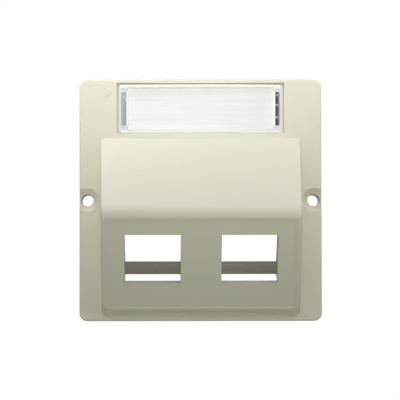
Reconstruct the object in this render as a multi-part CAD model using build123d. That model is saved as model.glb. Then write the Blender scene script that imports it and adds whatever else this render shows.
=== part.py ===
"""Keystone faceplate: a square moulded plate whose wedge hood carries two keystone bays
that face down the wall, with a paper label under a clear snap-in cover.

Millimetres. X is to the right, Z up the wall and -Y out of the wall. The wall plane is Y = 0,
and the origin is midway between the two screw holes.
"""
from build123d import *
from math import atan, cos, radians, sin, tan
import os

# Plate: a shallow box, open at the wall
plate_width = 64.5
plate_height = 64.5
plate_depth = 9.0
plate_corner_radius = 2.1
plate_edge_radius = 0.5
face_wall = 2.2
skirt_wall = 1.8

# Screw holes, so near the plate's sides that their countersinks run out over the edge
screw_edge_distance = 2.1
screw_hole_diameter = 3.2
countersink_diameter = 6.4
countersink_angle = 90
countersink_shift = 0.15
screw_boss_diameter = 7.2

# Ribs behind the face, from the skirt to the hood's hollow
rib_wall = 1.2
rib_setback = 3.0
rib_spacing = 36.0

# Hood: a slope from the foot up to the ridge, then the bay face from the ridge down to the rim.
# Each side leans in with the draft, and also runs in from the foot down to the rim.
hood_base_width = 53.4
hood_recess_distance = 1.3
hood_edge_distance = 3.0
hood_face_angle = 40
hood_rim_height = 2.8
hood_draft = 1.6
hood_side_run = 0.35
hood_corner_radius = 1.6
hood_edge_radius = 0.5
ridge_radius = 2.8
hood_wall = 1.6
hollow_corner_radius = 0.8
hollow_ridge_radius = 1.2

# The hood's underside runs back from the straight rim to an arc on the plate
underside_middle_drop = 0.45
underside_corner_drop = 2.0

# The bay face is sunk a little inside a narrow rim
panel_sink = 0.25
panel_side_rim = 1.2
panel_lower_rim = 0.65
panel_ridge_distance = 2.5
panel_corner_radius = 1.0
panel_wall = 1.65

# Keystone bays: an opening in the panel, two cheeks, and the rails that a jack's latches catch
bay_pitch = 25.4
bay_width = 14.8
bay_height = 16.5
bay_rim_distance = 8.35
bay_ridge_distance = 8.05
rail_setback = 8.35
rail_wall = 1.45
rail_height = 3.2
cheek_wall = 1.2
cheek_taper = 0.1

# Label recess, with a slot through its floor at each end
recess_width = 44.7
recess_height = 13.5
recess_edge_distance = 0.95
recess_depth = 2.0
recess_floor = 1.6

# Clear cover: an upturned tray, bowed out in the middle, with a snap leg at each end
cover_side_gap = 0.4
cover_top_gap = 0.55
cover_bottom_gap = 0.15
cover_seat_gap = 0.05
cover_edge = 1.7
cover_bow = 1.5
cover_skin = 1.0
cover_rim = 0.7
cover_corner_radius = 1.0
cover_edge_radius = 0.25
leg_spacing = 41.0
leg_thickness = 1.3
leg_width = 8.8
leg_slot_gap = 0.2
barb_reach = 0.45
barb_length = 1.0
barb_gap = 0.1

# Paper label on the recess floor
label_width = 38.6
label_thickness = 0.2
label_gap = 0.15

# Cuts run past a surface by the overrun, and joined solids reach into each other by the root
overrun = 1.0
root = 0.4

# Places on the plate, from its edges
screw_spacing = plate_width - 2 * screw_edge_distance
recess_z = plate_height / 2 - recess_edge_distance - recess_height / 2
hood_foot_z = recess_z - recess_height / 2 - hood_recess_distance
hood_rim_z = hood_edge_distance - plate_height / 2

# The bay face is as long as its openings need, and the slope runs from its top down to the foot
face_rise = tan(radians(hood_face_angle))
face_sin = sin(radians(hood_face_angle))
face_cos = cos(radians(hood_face_angle))
face_length = bay_rim_distance + bay_height + bay_ridge_distance
hood_top_z = hood_rim_z + face_length * face_cos
hood_top_height = hood_rim_height + face_length * face_sin
slope_rise = hood_top_height / (hood_foot_z - hood_top_z)
slope_cos = cos(atan(slope_rise))
draft_run = tan(radians(hood_draft))

# The bay plane lies on the sunk panel, at the lower edge of the openings, with Y up the face
bay_lower_z = hood_rim_z + bay_rim_distance * face_cos + panel_sink * face_sin
bay_lower_height = hood_rim_height + bay_rim_distance * face_sin - panel_sink * face_cos
bay_plane = Plane(
    origin=(0, -plate_depth - bay_lower_height, bay_lower_z),
    x_dir=(1, 0, 0),
    z_dir=(0, -face_cos, -face_sin),
)
rail_back = rail_setback + rail_wall

# The cover's place in the recess, and the pocket under it
floor_y = recess_depth - plate_depth
cover_width = recess_width - 2 * cover_side_gap
cover_height = recess_height - cover_top_gap - cover_bottom_gap
cover_z = recess_z + (cover_bottom_gap - cover_top_gap) / 2
pocket_width = label_width + 2 * label_gap
pocket_height = cover_height - 2 * cover_rim
label_height = pocket_height - 2 * label_gap


def front_plane(height):
    """The plane parallel to the plate's face, this far in front of it."""
    return Plane(origin=(0, -plate_depth - height, 0), x_dir=(1, 0, 0), z_dir=(0, -1, 0))


# Hood

def ridge_point(slope_inset, face_inset):
    """Z and height of the hood's ridge, with each of its two sides moved in by its own amount."""
    slope_at_zero = hood_foot_z * slope_rise - slope_inset / slope_cos
    face_at_zero = hood_rim_height - hood_rim_z * face_rise - face_inset / face_cos
    z = (slope_at_zero - face_at_zero) / (slope_rise + face_rise)
    return z, face_at_zero + z * face_rise


def hood_half_width(z, height):
    """Half the hood's width at a place up the wall and a height above the plate's face."""
    run_share = (hood_foot_z - z) / (hood_foot_z - hood_rim_z)
    return hood_base_width / 2 - height * draft_run - run_share * hood_side_run


def hood_outline(height, inset, middle_drop, corner_drop, corner_radius):
    """The hood's plan at a height above the plate's face, its lower edge an arc or a line."""
    foot_half = hood_half_width(hood_foot_z, height) - inset
    bottom = hood_rim_z + inset
    corner_z = bottom - corner_drop
    corner_half = hood_half_width(corner_z, height) - inset
    if corner_drop > middle_drop:
        lower_edge = ThreePointArc(
            (-corner_half, corner_z), (0, bottom - middle_drop), (corner_half, corner_z)
        )
    else:
        lower_edge = Line((-corner_half, corner_z), (corner_half, corner_z))
    other_edges = Polyline(
        (corner_half, corner_z),
        (foot_half, hood_foot_z),
        (-foot_half, hood_foot_z),
        (-corner_half, corner_z),
    )
    outline = make_face(lower_edge + other_edges)
    return front_plane(height) * fillet(outline.vertices(), corner_radius)


def hood_form(inset, face_inset, back, corner_radius):
    """The hood's wedge moved in by an inset, and carried back behind the plate's face."""
    ridge_z, ridge_height = ridge_point(inset, face_inset)
    base = hood_outline(0, inset, underside_middle_drop, underside_corner_drop, corner_radius)
    waist = hood_outline(hood_rim_height, inset, 0, 0, corner_radius)
    block = extrude(base, amount=-back)
    block += loft([base, waist], ruled=True)
    block += extrude(waist, amount=ridge_height, taper=hood_draft)

    full_height = ridge_height + back
    foot = (back - plate_depth, ridge_z + full_height / slope_rise)
    ridge = (-plate_depth - ridge_height, ridge_z)
    rim = (back - plate_depth, ridge_z - full_height / face_rise)
    side_view = Plane.YZ * make_face(Polyline(foot, ridge, rim, close=True))
    return block & extrude(side_view, amount=hood_base_width, both=True)


def is_hood_side(edge):
    """Whether an edge is a long straight one between the hood's side and its slope or bay face."""
    start = edge.position_at(0)
    end = edge.position_at(1)
    leans = abs(start.Y - end.Y) > hood_wall and abs(start.Z - end.Z) > hood_wall
    return edge.geom_type == GeomType.LINE and leans


def hood_outside():
    """The hood's outer form, with its ridge and its side edges rounded."""
    form = hood_form(0, 0, root, hood_corner_radius)
    ridge_edge = form.edges().filter_by(Axis.X).sort_by(Axis.Y)[0]
    form = fillet(ridge_edge, ridge_radius)
    return fillet(form.edges().filter_by(is_hood_side), hood_edge_radius)


def hood_hollow():
    """The space inside the hood, open to the wall through the plate's face."""
    hollow = hood_form(hood_wall, panel_sink + panel_wall, plate_depth, hollow_corner_radius)
    ridge_edge = hollow.edges().filter_by(Axis.X).sort_by(Axis.Y)[0]
    return fillet(ridge_edge, hollow_ridge_radius)


def panel_cut():
    """What is cut from the bay face to sink it inside its rim, narrowing up it with the draft."""
    lower = panel_lower_rim - bay_rim_distance
    upper = face_length - bay_rim_distance - panel_ridge_distance
    lower_half = hood_half_width(hood_rim_z, hood_rim_height) - panel_side_rim
    upper_half = hood_half_width(hood_top_z, hood_top_height) - panel_side_rim
    corners = [(-lower_half, lower), (lower_half, lower), (upper_half, upper), (-upper_half, upper)]
    outline = make_face(Polyline(*corners, close=True))
    return extrude(bay_plane * fillet(outline.vertices(), panel_corner_radius), amount=overrun)


# Keystone bays

def bay_frame():
    """The cheeks and rails of one bay, behind the panel, before the hood's walls trim them."""
    front = root - panel_wall
    top = (hood_top_z - bay_lower_z) / face_cos
    side_plane = Plane(origin=(0, 0, 0), x_dir=(0, 1, 0), z_dir=(1, 0, 0))
    side_view = make_face(
        Polyline((0, front), (-rail_height, -rail_back), (top, -rail_back), (top, front), close=True)
    )
    frame = extrude(side_plane * side_view, amount=bay_width / 2 + cheek_wall, both=True)

    taper_run = 2 * cheek_taper / bay_height
    low, high = -rail_height - overrun, top + overrun
    low_half = bay_width / 2 - cheek_taper + low * taper_run
    high_half = bay_width / 2 - cheek_taper + high * taper_run
    shaft = make_face(
        Polyline((-low_half, low), (low_half, low), (high_half, high), (-high_half, high), close=True)
    )
    frame -= extrude(shaft, amount=-rail_back - overrun)

    rail = Box(bay_width + cheek_wall, rail_height, rail_wall)
    rail_z = -rail_setback - rail_wall / 2
    frame += Pos(0, -rail_height / 2, rail_z) * rail
    frame += Pos(0, bay_height + rail_height / 2, rail_z) * rail
    return frame


def bay_places():
    """The middle of each bay, on the bay plane."""
    return [bay_plane * Pos(side * bay_pitch / 2, 0) for side in (-1, 1)]


def bay_frames():
    """Both bays' cheeks and rails, ending inside the hood's walls."""
    frame = bay_frame()
    within_walls = hood_form(
        hood_wall - root, panel_sink + panel_wall - root, plate_depth, hollow_corner_radius
    )
    return [place * frame & within_walls for place in bay_places()]


def bay_openings():
    """The two openings through the panel."""
    opening = Pos(0, bay_height / 2) * Rectangle(bay_width, bay_height)
    cut = extrude(opening, amount=overrun) + extrude(opening, amount=-panel_wall)
    return [place * cut for place in bay_places()]


# Plate

def plate_box():
    """The shallow box: the face, its rounded front edge and the skirt that stands on the wall."""
    outline = RectangleRounded(plate_width, plate_height, plate_corner_radius)
    block = extrude(front_plane(0) * outline, amount=-plate_depth)
    block = fillet(block.faces().sort_by(Axis.Y)[0].edges(), plate_edge_radius)
    inside = Rectangle(plate_width - 2 * skirt_wall, plate_height - 2 * skirt_wall)
    return block - extrude(front_plane(-face_wall) * inside, amount=-plate_depth)


def behind_face(outline, depth):
    """An outline carried back from within the face wall to a depth behind the plate's face."""
    within_outline = outline & Rectangle(plate_width - skirt_wall, plate_height - skirt_wall)
    return extrude(front_plane(root - face_wall) * within_outline, amount=face_wall - root - depth)


def screw_bosses():
    """The posts round the screw holes, which run into the skirt."""
    return [
        behind_face(Pos(side * screw_spacing / 2, 0) * Circle(screw_boss_diameter / 2), plate_depth)
        for side in (-1, 1)
    ]


def back_ribs():
    """Four short ribs behind the face, from the skirt to the edge of the hood's hollow."""
    inner = hood_base_width / 2 - hood_wall
    outer = (plate_width - skirt_wall) / 2
    rib = Rectangle(outer - inner, rib_wall)
    return [
        behind_face(
            Pos(side * (inner + outer) / 2, end * rib_spacing / 2) * rib, plate_depth - rib_setback
        )
        for side in (-1, 1)
        for end in (-1, 1)
    ]


def recess_backing():
    """The tray that holds the label recess, behind the face."""
    tray = Rectangle(recess_width + 2 * recess_floor, recess_height + 2 * recess_floor)
    return behind_face(Pos(0, recess_z) * tray, recess_depth + recess_floor)


def screw_cuts():
    """The screw holes, with countersinks centred a little further out than the holes."""
    cone_depth = countersink_diameter / 2 / tan(radians(countersink_angle / 2))
    cuts = []
    for side in (-1, 1):
        hole = Pos(side * screw_spacing / 2, 0) * Circle(screw_hole_diameter / 2)
        cuts.append(extrude(front_plane(overrun) * hole, amount=-plate_depth - 2 * overrun))
        sink_place = Pos(side * (screw_spacing / 2 + countersink_shift), 0, -cone_depth / 2)
        cuts.append(front_plane(0) * sink_place * Cone(0, countersink_diameter / 2, cone_depth))
    return cuts


def recess_cuts():
    """The label recess, and the slots for the cover's legs."""
    window = Pos(0, recess_z) * Rectangle(recess_width, recess_height)
    slot = Rectangle(leg_thickness + 2 * leg_slot_gap, leg_width + 2 * leg_slot_gap)
    cuts = [extrude(front_plane(overrun) * window, amount=-overrun - recess_depth)]
    for side in (-1, 1):
        slot_place = front_plane(0) * Pos(side * leg_spacing / 2, cover_z)
        cuts.append(extrude(slot_place * slot, amount=-plate_depth))
    return cuts


def faceplate():
    """The whole moulding: plate, hood, bays, bosses, ribs and label recess."""
    body = plate_box() + hood_outside() - hood_hollow() - panel_cut()
    body = body + bay_frames() - bay_openings()
    body = body + screw_bosses() + back_ribs() + recess_backing()
    return body - screw_cuts() - recess_cuts()


# Label and its cover

def plan_plane(z):
    """The plane square to the wall at a height up it, with Y towards the wall."""
    return Plane(origin=(0, 0, z), x_dir=(1, 0, 0), z_dir=(0, 0, 1))


def cover_tray():
    """The bowed tray, its pocket open towards the recess floor, just clear of which it ends."""
    half = cover_width / 2
    seat_y = floor_y - cover_seat_gap
    edge_y = floor_y - cover_edge
    crown_y = edge_y - cover_bow
    bow_radius = (half ** 2 + cover_bow ** 2) / (2 * cover_bow)
    bow_middle = Pos(0, crown_y + bow_radius)
    base = Polyline((-half, edge_y), (-half, seat_y), (half, seat_y), (half, edge_y))
    crown = ThreePointArc((half, edge_y), (0, crown_y), (-half, edge_y))
    tray = extrude(plan_plane(cover_z) * make_face(base + crown), amount=cover_height / 2, both=True)
    tray = fillet(tray.edges().filter_by(Axis.Y), cover_corner_radius)
    outer_edges = tray.faces().sort_by(Axis.Y)[0].edges()
    tray = fillet(outer_edges, cover_edge_radius)

    pocket_reach = cover_edge + cover_bow
    pocket = Pos(0, floor_y) * Rectangle(pocket_width, 2 * pocket_reach)
    pocket &= bow_middle * Circle(bow_radius - cover_skin)
    return tray - extrude(plan_plane(cover_z) * pocket, amount=pocket_height / 2, both=True)


def cover_leg(side):
    """A snap leg through the recess floor, with a barb that catches behind it."""
    inner = leg_spacing / 2 - leg_thickness / 2
    outer = leg_spacing / 2 + leg_thickness / 2
    catch_y = floor_y + recess_floor + barb_gap
    tip_y = catch_y + barb_length
    points = [
        (inner, floor_y - root),
        (outer, floor_y - root),
        (outer, catch_y),
        (outer + barb_reach, catch_y),
        (outer, tip_y),
        (inner, tip_y),
    ]
    profile = make_face(Polyline(*[(side * x, y) for x, y in points], close=True))
    return extrude(plan_plane(cover_z) * profile, amount=leg_width / 2, both=True)


def label_cover():
    """The clear cover, made as one piece with its two legs."""
    return cover_tray() + [cover_leg(side) for side in (-1, 1)]


def label_strip():
    """The paper label, flat on the recess floor."""
    sheet = Rectangle(label_width, label_height)
    place = front_plane(-recess_depth) * Pos(0, cover_z)
    return extrude(place * sheet, amount=label_thickness)


parts = {
    "faceplate": faceplate(),
    "label_cover": label_cover(),
    "label_strip": label_strip(),
}

os.makedirs("parts", exist_ok=True)
for name, part in parts.items():
    export_step(part, f"parts/{name}.step")
    print(name, len(part.solids()), "solid", round(part.volume, 1), "cubic mm")
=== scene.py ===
"""Looks of the keystone faceplate: an ivory moulding, a clear label cover and a paper label.

The plate hangs upright, as it would on a wall, in front of a white studio backdrop.
Places are in millimetres in the frame's own axes: X to the right, Z up, -Y towards the room.
"""
from math import atan, radians

import bpy
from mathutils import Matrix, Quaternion, Vector

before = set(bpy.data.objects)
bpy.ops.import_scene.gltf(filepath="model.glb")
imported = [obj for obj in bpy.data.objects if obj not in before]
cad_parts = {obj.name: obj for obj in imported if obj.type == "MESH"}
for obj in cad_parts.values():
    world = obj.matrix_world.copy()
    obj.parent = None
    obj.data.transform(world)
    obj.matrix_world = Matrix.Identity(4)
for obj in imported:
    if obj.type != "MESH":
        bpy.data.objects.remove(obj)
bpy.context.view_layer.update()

MM = 0.001

# Camera: a long lens, a little to the left of the plate and below it
camera_place = (-7.7, -649.0, -33.0)
camera_aim = (-0.16, -9.0, -0.04)
camera_field = 106.6
camera_roll = -0.1
sensor_width = 36.0

# Stage
backdrop_distance = 1500.0
floor_depth = 300.0
stage_width = 8000.0
stage_paint = "#f2f1ee"
floor_shown_share = 0.7
backdrop_shown_share = 1.0

# Area lamps: name, place, what it points at, width, height, power in watts and colour
area_lamps = [
    ("above_left", (-60.0, -30.0, 80.0), (0.0, -9.0, 0.0), 50.0, 50.0, 0.034, "#fefeff"),
    ("above_right", (60.0, -30.0, 80.0), (0.0, -9.0, 0.0), 50.0, 50.0, 0.0184, "#fefeff"),
    ("above_front", (0.0, -160.0, 95.0), (0.0, -9.0, 0.0), 320.0, 60.0, 0.103, "#f9f9ff"),
    ("below_left", (-86.9, -195.4, -245.1), (0.0, -9.0, 0.0), 176.0, 176.0, 0.128, "#fffeeb"),
    ("beside_right", (90.0, -90.0, 0.0), (0.0, -9.0, 0.0), 50.0, 50.0, 0.0118, "#fffffd"),
]

# Spot lamps: name, place, what it points at, radius it lights there, lamp radius, power in watts
# and colour
spot_lamps = [
    ("front", (0.0, -509.0, 60.0), (0.0, -9.0, 60.0), 85.0, 60.0, 6.6, "#fefffa"),
]

# Fill light from all round, and the white that the surroundings show
world_fill = 0.126
pure_white = "#ffffff"

# Ivory moulding: its sheen, its two pigment shades, the width of their patches and the mould's grain
ivory_roughness = 0.55
ivory_index = 1.54
ivory = "#e5e2d1"
ivory_patch = "#e3e0ce"
pigment_patch = 14.0
mould_grain = 0.4
grain_depth = 0.01

# Wear on the moulding: where each mark starts and ends, and its half width
mark_colour = "#c9c6b6"
wear_marks = [
    ((-24.9, -9.0, 27.5), (-23.9, -9.0, 28.7), 0.24),
    ((-16.47, -19.82, 7.05), (-16.47, -19.78, 7.2), 0.3),
    ((-13.67, -21.97, 5.15), (-13.67, -21.9, 5.3), 0.3),
    ((-5.0, -18.27, 8.4), (-5.05, -18.2, 8.55), 0.25),
]

# Clear cover: its polished window, and the frosting round it with the share of the view it hides.
# The upper and lower rims carry a painted highlight, whiter than the frosting, where their edges
# catch the light. Everything in front of the skin's depth is the cover's front skin.
cover_middle_height = 24.35
cover_skin_depth = -8.0
clear_tint = "#ffffff"
frosted_white = "#ebeceb"
rim_highlight_white = "#ffffff"
window_width = 38.6
window_height = 11.4
window_edge_blur = 0.2
frosting_share = 0.8
frosted_roughness = 0.15
polished_roughness = 0.03
cover_index = 1.585

# Snap legs of the clear cover, painted with what is seen through them: a painted highlight beside the
# label, then painted dark shade and refracted grey of the space behind. The shades of the left and
# right leg run from that edge outwards, by their share of the leg's seen width.
leg_inner_edge = 19.3
leg_seen_width = 1.8
leg_width = 8.8
leg_edge_blur = 0.15
leg_patch = 0.9
leg_painted_patch_shade = "#25272a"
leg_painted_shades = {
    -1: [(0.2, "#f0f0f2"), (0.34, "#99a0a6"), (1.0, "#aab3b9")],
    1: [(0.32, "#ffffff"), (0.45, "#08070a"), (0.62, "#25282c"), (0.8, "#4e5256"), (1.0, "#989c9e")],
}

# Painted glints in the legs and painted fillet shade above and below them, given as the wear marks are, seen
# flat
leg_glint = "#cdd0cb"
leg_glints = [
    ((-20.4, 0.0, 27.8), (-19.75, 0.0, 26.4), 0.35),
    ((20.45, 0.0, 28.1), (20.5, 0.0, 27.9), 0.3),
    ((20.1, 0.0, 25.5), (20.6, 0.0, 25.3), 0.3),
    ((20.3, 0.0, 22.0), (20.45, 0.0, 22.2), 0.35),
]
leg_painted_fillet_shade = "#d2d4d4"
leg_painted_fillet_shades = [
    ((-20.9, 0.0, 29.6), (-20.0, 0.0, 29.3), 0.45),
    ((-20.8, 0.0, 19.35), (-20.2, 0.0, 19.35), 0.4),
    ((20.1, 0.0, 29.4), (21.0, 0.0, 29.4), 0.45),
    ((20.1, 0.0, 19.25), (20.9, 0.0, 19.25), 0.4),
]

# Label paper: its white, the shade of its lines, their spacing and length in mm, and the noise
# levels between which they fade
paper_roughness = 0.9
paper_index = 1.45
paper_white = "#ffffff"
paper_line = "#f8f7fa"
line_spacing = 0.9
line_length = 40.0
line_fade = (0.36, 0.6)


def linear(hex_colour):
    """Linear red, green and blue of an sRGB hex colour, with an alpha of one."""
    shares = [int(hex_colour[start:start + 2], 16) / 255 for start in (1, 3, 5)]
    return [s / 12.92 if s <= 0.04045 else ((s + 0.055) / 1.055) ** 2.4 for s in shares] + [1.0]


def add_node(tree, kind, inputs=None, **settings):
    """Adds a node to a tree. Each of its inputs takes a value, or the socket that feeds it."""
    node = tree.nodes.new(kind)
    for name, value in settings.items():
        setattr(node, name, value)
    for socket, value in (inputs or {}).items():
        if isinstance(value, bpy.types.NodeSocket):
            tree.links.new(value, node.inputs[socket])
        else:
            node.inputs[socket].default_value = value
    return node


def new_material(name):
    """An empty material and its node tree."""
    material = bpy.data.materials.new(name)
    material.use_nodes = True
    material.node_tree.nodes.clear()
    return material, material.node_tree


def place_in_mm(tree):
    """The point on the piece, in millimetres in the frame's axes."""
    place = add_node(tree, "ShaderNodeTexCoord").outputs["Object"]
    scaled = add_node(tree, "ShaderNodeVectorMath", {0: place, "Scale": 1 / MM}, operation="SCALE")
    return scaled.outputs["Vector"]


def mark_share(tree, place, start, end, half_width):
    """One on a line between two points of the surface, fading to zero at its half width."""
    along = Vector(end) - Vector(start)
    offset = add_node(tree, "ShaderNodeVectorMath", {0: place, 1: start}, operation="SUBTRACT")
    reach = add_node(tree, "ShaderNodeVectorMath", {
        0: offset.outputs["Vector"], 1: along / along.length_squared,
    }, operation="DOT_PRODUCT")
    held = add_node(tree, "ShaderNodeClamp", {"Value": reach.outputs["Value"]})
    nearest = add_node(tree, "ShaderNodeVectorMath", {
        0: along, "Scale": held.outputs["Result"],
    }, operation="SCALE")
    distance = add_node(tree, "ShaderNodeVectorMath", {
        0: offset.outputs["Vector"], 1: nearest.outputs["Vector"],
    }, operation="DISTANCE")
    return add_node(tree, "ShaderNodeMapRange", {
        "Value": distance.outputs["Value"], "From Max": half_width, "To Min": 1.0, "To Max": 0.0,
    }).outputs["Result"]


def moulded_ivory_abs():
    """Ivory ABS from a spark-eroded mould: a soft matt sheen over a fine, even grain."""
    material, tree = new_material("moulded_ivory_abs")
    place = place_in_mm(tree)

    # The pigment is a shade uneven, in wide soft patches
    patches = add_node(tree, "ShaderNodeTexNoise", {
        "Vector": place, "Scale": 1 / pigment_patch, "Detail": 1.0,
    })
    colour = add_node(tree, "ShaderNodeMix", {
        "Factor": patches.outputs["Fac"], 6: linear(ivory), 7: linear(ivory_patch),
    }, data_type="RGBA").outputs[2]

    # A hairline scratch near the top left corner and three specks of dirt on the slope
    for start, end, half_width in wear_marks:
        share = mark_share(tree, place, start, end, half_width)
        colour = add_node(tree, "ShaderNodeMix", {
            "Factor": share, 6: colour, 7: linear(mark_colour),
        }, data_type="RGBA").outputs[2]

    # The grain is about 0.1 mm on the real plate, and is drawn coarser so that it shows
    grain = add_node(tree, "ShaderNodeTexNoise", {
        "Vector": place, "Scale": 1 / mould_grain, "Detail": 2.0,
    })
    bump = add_node(tree, "ShaderNodeBump", {
        "Height": grain.outputs["Fac"], "Strength": 1.0, "Distance": grain_depth * MM,
    })
    skin = add_node(tree, "ShaderNodeBsdfPrincipled", {
        "Base Color": colour, "Roughness": ivory_roughness, "IOR": ivory_index,
        "Normal": bump.outputs["Normal"],
    })
    add_node(tree, "ShaderNodeOutputMaterial", {"Surface": skin.outputs[0]})
    return material


def step_share(tree, value, middle, half_width, soft):
    """One where a value is within a half width of its middle, fading to zero over a soft edge."""
    offset = add_node(tree, "ShaderNodeMath", {0: value, 1: middle}, operation="SUBTRACT")
    distance = add_node(tree, "ShaderNodeMath", {0: offset.outputs[0]}, operation="ABSOLUTE")
    return add_node(tree, "ShaderNodeMapRange", {
        "Value": distance.outputs[0], "From Min": half_width, "From Max": half_width + soft,
        "To Min": 1.0, "To Max": 0.0,
    }).outputs["Result"]


def product(tree, *shares):
    """Several shares multiplied together."""
    result = shares[0]
    for share in shares[1:]:
        result = add_node(tree, "ShaderNodeMath", {0: result, 1: share}, operation="MULTIPLY").outputs[0]
    return result


def leg_painted_view(tree, across, height, side):
    """What one leg shows, painted: its painted highlight and shades from the inner edge outwards, made
    uneven up the leg.
    """
    outwards = add_node(tree, "ShaderNodeMapRange", {
        "Value": across, "From Min": side * leg_inner_edge,
        "From Max": side * (leg_inner_edge + leg_seen_width),
    })
    ramp = add_node(tree, "ShaderNodeValToRGB", {"Fac": outwards.outputs["Result"]})
    stops = ramp.color_ramp.elements
    stops.remove(stops[1])
    for share, shade in leg_painted_shades[side]:
        stop = stops[0] if share == leg_painted_shades[side][0][0] else stops.new(share)
        stop.position = share
        stop.color = linear(shade)
    cloudy = add_node(tree, "ShaderNodeTexNoise", {
        "W": height, "Scale": 1 / leg_patch, "Detail": 1.0,
    }, noise_dimensions="1D")
    return add_node(tree, "ShaderNodeMix", {
        "Factor": cloudy.outputs["Fac"], 6: ramp.outputs["Color"], 7: linear(leg_painted_patch_shade),
    }, data_type="RGBA", blend_type="SCREEN").outputs[2]


def clear_polycarbonate():
    """Clear polycarbonate: polished over the label, and frosted white where it frames the label."""
    material, tree = new_material("clear_polycarbonate")
    place = add_node(tree, "ShaderNodeSeparateXYZ", {0: place_in_mm(tree)})
    across, depth, height = (place.outputs[axis] for axis in "XYZ")

    # Outside the window the frosting hides most of what is behind it
    within_rims = step_share(tree, height, cover_middle_height, window_height / 2, window_edge_blur)
    window = product(
        tree, step_share(tree, across, 0.0, window_width / 2, window_edge_blur), within_rims,
    )
    # Above and below the window the rims are painted whiter: a painted highlight on their edges
    frosting = add_node(tree, "ShaderNodeMix", {
        "Factor": within_rims, 6: linear(rim_highlight_white), 7: linear(frosted_white),
    }, data_type="RGBA")
    colour = add_node(tree, "ShaderNodeMix", {
        "Factor": window, 6: frosting.outputs[2], 7: linear(clear_tint),
    }, data_type="RGBA").outputs[2]
    clearness = add_node(tree, "ShaderNodeMapRange", {
        "Value": window, "To Min": 1 - frosting_share, "To Max": 1.0,
    }).outputs["Result"]
    roughness = add_node(tree, "ShaderNodeMapRange", {
        "Value": window, "To Min": frosted_roughness, "To Max": polished_roughness,
    }).outputs["Result"]

    # The legs act as light pipes to the dark space behind the plate: their painted light and shade lies on
    # the cover's front skin
    front = add_node(tree, "ShaderNodeMath", {0: depth, 1: cover_skin_depth}, operation="LESS_THAN")
    level = step_share(tree, height, cover_middle_height, leg_width / 2, leg_edge_blur)
    for side in leg_painted_shades:
        middle = side * (leg_inner_edge + leg_seen_width / 2)
        leg = step_share(tree, across, middle, leg_seen_width / 2, leg_edge_blur)
        share = product(tree, front.outputs[0], level, leg)
        colour = add_node(tree, "ShaderNodeMix", {
            "Factor": share, 6: colour, 7: leg_painted_view(tree, across, height, side),
        }, data_type="RGBA").outputs[2]
        beside = add_node(tree, "ShaderNodeMath", {0: 1.0, 1: share}, operation="SUBTRACT")
        clearness = product(tree, clearness, beside.outputs[0])

    # Painted glints in the legs, and painted shade on the fillets where the legs join the cover
    flat = add_node(tree, "ShaderNodeCombineXYZ", {"X": across, "Z": height}).outputs[0]
    for marks, shade, blend in ((leg_glints, leg_glint, "LIGHTEN"), (leg_painted_fillet_shades, leg_painted_fillet_shade, "DARKEN")):
        for start, end, half_width in marks:
            share = product(tree, front.outputs[0], mark_share(tree, flat, start, end, half_width))
            colour = add_node(tree, "ShaderNodeMix", {
                "Factor": share, 6: colour, 7: linear(shade),
            }, data_type="RGBA", blend_type=blend).outputs[2]
    body = add_node(tree, "ShaderNodeBsdfPrincipled", {
        "Base Color": colour, "Roughness": roughness, "IOR": cover_index,
        "Transmission Weight": clearness,
    })

    # Lamp light passes straight through, so that the label under the cover is lit
    clear_way = add_node(tree, "ShaderNodeBsdfTransparent", {"Color": linear(clear_tint)})
    rays = add_node(tree, "ShaderNodeLightPath")
    surface = add_node(tree, "ShaderNodeMixShader", {
        0: rays.outputs["Is Shadow Ray"], 1: body.outputs[0], 2: clear_way.outputs[0],
    })
    add_node(tree, "ShaderNodeOutputMaterial", {"Surface": surface.outputs[0]})
    return material


def label_paper():
    """White uncoated label paper: dead matt, with faint, uneven lines across it."""
    material, tree = new_material("label_paper")
    lines_along = add_node(tree, "ShaderNodeVectorMath", {
        0: place_in_mm(tree), 1: (1 / line_length, 1.0, 1 / line_spacing),
    }, operation="MULTIPLY")
    lines = add_node(tree, "ShaderNodeTexNoise", {
        "Vector": lines_along.outputs["Vector"], "Scale": 1.0, "Detail": 2.0,
    })
    faded = add_node(tree, "ShaderNodeMapRange", {
        "Value": lines.outputs["Fac"], "From Min": line_fade[0], "From Max": line_fade[1],
    })
    colour = add_node(tree, "ShaderNodeMix", {
        "Factor": faded.outputs["Result"], 6: linear(paper_line), 7: linear(paper_white),
    }, data_type="RGBA")
    sheet = add_node(tree, "ShaderNodeBsdfPrincipled", {
        "Base Color": colour.outputs[2], "Roughness": paper_roughness, "IOR": paper_index,
        "Specular IOR Level": 0.0,
    })
    add_node(tree, "ShaderNodeOutputMaterial", {"Surface": sheet.outputs[0]})
    return material


def seen_rays(tree):
    """One for the camera's own rays, mirrored or refracted ones too, and zero for fill light."""
    rays = add_node(tree, "ShaderNodeLightPath")
    shown = add_node(tree, "ShaderNodeMath", {
        0: rays.outputs["Is Camera Ray"], 1: rays.outputs["Is Glossy Ray"],
    }, operation="MAXIMUM")
    shown = add_node(tree, "ShaderNodeMath", {
        0: shown.outputs[0], 1: rays.outputs["Is Transmission Ray"],
    }, operation="MAXIMUM")
    direct = add_node(tree, "ShaderNodeMath", {
        0: 1.0, 1: rays.outputs["Diffuse Depth"],
    }, operation="SUBTRACT", use_clamp=True)
    return product(tree, shown.outputs[0], direct.outputs[0])


def studio_white(name, shown_share):
    """Matt white stage paint, shown as pure white by a share of its brightness."""
    material, tree = new_material(name)
    paint = add_node(tree, "ShaderNodeBsdfDiffuse", {"Color": linear(stage_paint)})
    glow = add_node(tree, "ShaderNodeEmission", {"Color": linear(pure_white), "Strength": 1.0})
    share = add_node(tree, "ShaderNodeMath", {0: seen_rays(tree), 1: shown_share}, operation="MULTIPLY")
    surface = add_node(tree, "ShaderNodeMixShader", {
        0: share.outputs[0], 1: paint.outputs[0], 2: glow.outputs[0],
    })
    add_node(tree, "ShaderNodeOutputMaterial", {"Surface": surface.outputs[0]})
    return material


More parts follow.
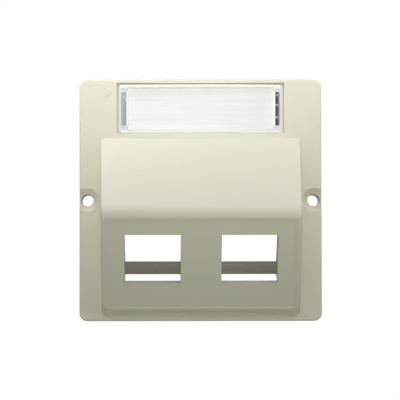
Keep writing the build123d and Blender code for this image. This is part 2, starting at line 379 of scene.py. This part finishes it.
def stage_plane(name, corners, material):
    """A large flat piece of the stage, from its four corners in millimetres."""
    mesh = bpy.data.meshes.new(name)
    mesh.from_pydata([Vector(corner) * MM for corner in corners], [], [range(len(corners))])
    mesh.materials.append(material)
    piece = bpy.data.objects.new(name, mesh)
    bpy.context.scene.collection.objects.link(piece)


def add_stage():
    """A pale floor below the plate and a white backdrop well behind it."""
    half = stage_width / 2
    back = backdrop_distance
    low = -floor_depth
    stage_plane("floor", [(-half, -half, low), (half, -half, low), (half, half, low), (-half, half, low)],
                studio_white("pale_floor", floor_shown_share))
    stage_plane("backdrop", [(-half, back, low), (half, back, low), (half, back, half), (-half, back, half)],
                studio_white("white_backdrop", backdrop_shown_share))


def add_world():
    """A low even fill for the object, and plain white where the surroundings are seen."""
    world = bpy.data.worlds.new("studio")
    world.use_nodes = True
    tree = world.node_tree
    tree.nodes.clear()
    fill = add_node(tree, "ShaderNodeBackground", {"Color": linear(pure_white), "Strength": world_fill})
    white = add_node(tree, "ShaderNodeBackground", {"Color": linear(pure_white), "Strength": 1.0})
    surface = add_node(tree, "ShaderNodeMixShader", {
        0: seen_rays(tree), 1: fill.outputs[0], 2: white.outputs[0],
    })
    add_node(tree, "ShaderNodeOutputWorld", {"Surface": surface.outputs[0]})
    bpy.context.scene.world = world


def add_lamp(name, kind, place, target, power, colour):
    """The holder of a lamp of one kind, at its place and turned towards its target."""
    lamp = bpy.data.lights.new(name, kind)
    lamp.energy = power
    lamp.color = linear(colour)[:3]
    holder = bpy.data.objects.new(name, lamp)
    holder.location = Vector(place) * MM
    holder.rotation_euler = (Vector(target) - Vector(place)).to_track_quat("-Z", "Y").to_euler()
    bpy.context.scene.collection.objects.link(holder)

    # What crosses the clear cover is counted once, by the rays that look for the lamp
    holder.visible_transmission = False
    return holder


def add_lamps():
    """Soft lamps round the plate, and a spot from the front that fades down the plate."""
    for name, place, target, width, height, power, colour in area_lamps:
        lamp = add_lamp(name, "AREA", place, target, power, colour).data
        lamp.shape = "RECTANGLE"
        lamp.size = width * MM
        lamp.size_y = height * MM
    for name, place, target, lit_radius, radius, power, colour in spot_lamps:
        holder = add_lamp(name, "SPOT", place, target, power, colour)
        lamp = holder.data
        reach = (Vector(target) - Vector(place)).length
        lamp.spot_size = 2 * atan(lit_radius / reach)
        lamp.spot_blend = 1.0
        lamp.shadow_soft_size = radius * MM

        # Its round mirror image would show in the polished cover
        holder.visible_glossy = False


def add_camera():
    """The camera that sees the plate as the photograph does."""
    place = Vector(camera_place)
    sight = Vector(camera_aim) - place
    camera = bpy.data.cameras.new("camera")
    camera.sensor_width = sensor_width
    camera.lens = sensor_width * sight.length / camera_field
    holder = bpy.data.objects.new("camera", camera)
    holder.location = place * MM
    level = sight.to_track_quat("-Z", "Y")
    holder.rotation_euler = (level @ Quaternion((0.0, 0.0, 1.0), radians(camera_roll))).to_euler()
    bpy.context.scene.collection.objects.link(holder)
    bpy.context.scene.camera = holder


finishes = {
    "faceplate": moulded_ivory_abs(),
    "label_cover": clear_polycarbonate(),
    "label_strip": label_paper(),
}
for node, material in finishes.items():
    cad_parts[node].data.materials.clear()
    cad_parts[node].data.materials.append(material)

add_stage()
add_world()
add_lamps()
add_camera()
bpy.context.scene.view_settings.view_transform = "Standard"
